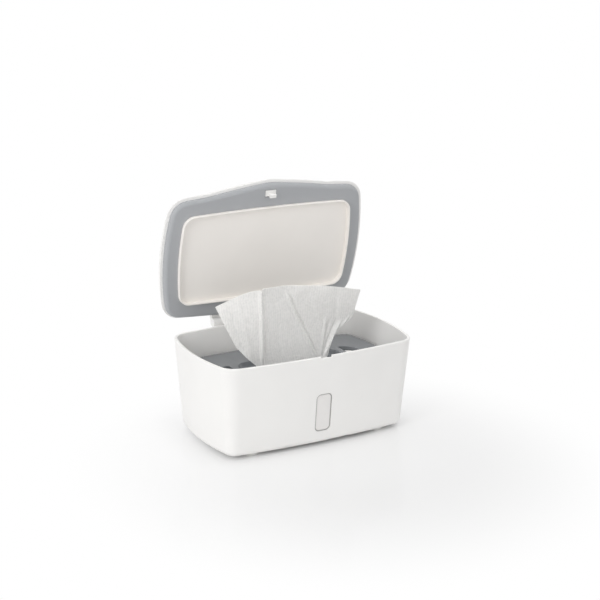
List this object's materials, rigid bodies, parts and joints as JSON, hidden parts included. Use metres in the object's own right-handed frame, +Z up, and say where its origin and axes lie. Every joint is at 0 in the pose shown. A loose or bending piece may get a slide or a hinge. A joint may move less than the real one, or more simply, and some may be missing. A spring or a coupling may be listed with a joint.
{
  "type": "wipes dispenser",
  "caption": "Rectangular baby wipes tub with bowed sides, a hinged lid that opens on a push button, and a weighted plate whose slot holds the next wipe ready.",
  "frame": {"origin": "on the ground, under the middle of the tub", "axes": "+Z up, +X to the tub's right seen from the front, -Y towards the front with the window, +Y towards the hinge; lid open at rest"},
  "size_m": [0.2256, 0.1454, 0.2421],
  "materials": {
    "white_plastic": "satin moulded",
    "clear_plastic": "frosted",
    "foot_rubber": "matte",
    "pin_steel": "drawn",
    "spring_steel": "drawn",
    "wipe_cloth": "damp embossed non-woven",
    "grey_seal": "matte",
    "tray_plastic": "fine matte",
    "grey_plastic": "satin moulded",
    "weight_steel": "rolled"
  },
  "bodies": {
    "tub_body": {"tub": "white_plastic", "window_pane": "clear_plastic", "foot_front_left": "foot_rubber", "foot_front_right": "foot_rubber", "foot_rear_left": "foot_rubber", "foot_rear_right": "foot_rubber", "hinge_pin_left": "pin_steel", "hinge_pin_right": "pin_steel", "hinge_spring_left": "spring_steel", "hinge_spring_right": "spring_steel", "wipes_stack": "wipe_cloth"},
    "lid": {"lid_shell": "white_plastic", "lid_ring": "grey_seal", "lid_tray": "tray_plastic", "latch_pin": "pin_steel", "button_spring_left": "spring_steel", "button_spring_right": "spring_steel"},
    "rocker": {"release_button": "white_plastic", "latch_hook": "white_plastic"},
    "plate": {"plate_cover": "grey_plastic", "plate_weight": "weight_steel", "plate_base": "grey_plastic", "leading_wipe": "wipe_cloth"}
  },
  "joints": [
    {"name": "lid_hinge", "type": "hinge", "parent": "tub_body", "child": "lid", "pos_m": [0, 0.0721, 0.0964], "axis": [1, 0, 0], "range_deg": [0, 80], "stiffness_Nm_per_rad": 0.08, "springref_deg": -40.11, "deforming": ["leading_wipe"]},
    {"name": "button_press", "type": "hinge", "parent": "lid", "child": "rocker", "pos_m": [0, 0.05459, 0.21933], "axis": [1, 0, 0], "range_deg": [0, 7], "stiffness_Nm_per_rad": 0.05, "springref_deg": -8.59, "deforming": ["button_spring_left", "button_spring_right"]},
    {"name": "plate_slide", "type": "slide", "parent": "tub_body", "child": "plate", "axis": [0, 0, 1], "range_m": [-0.043, 0.012], "stiffness_N_per_m": 2000, "springref_m": 0.0034, "deforming": ["wipes_stack"]}
  ]
}
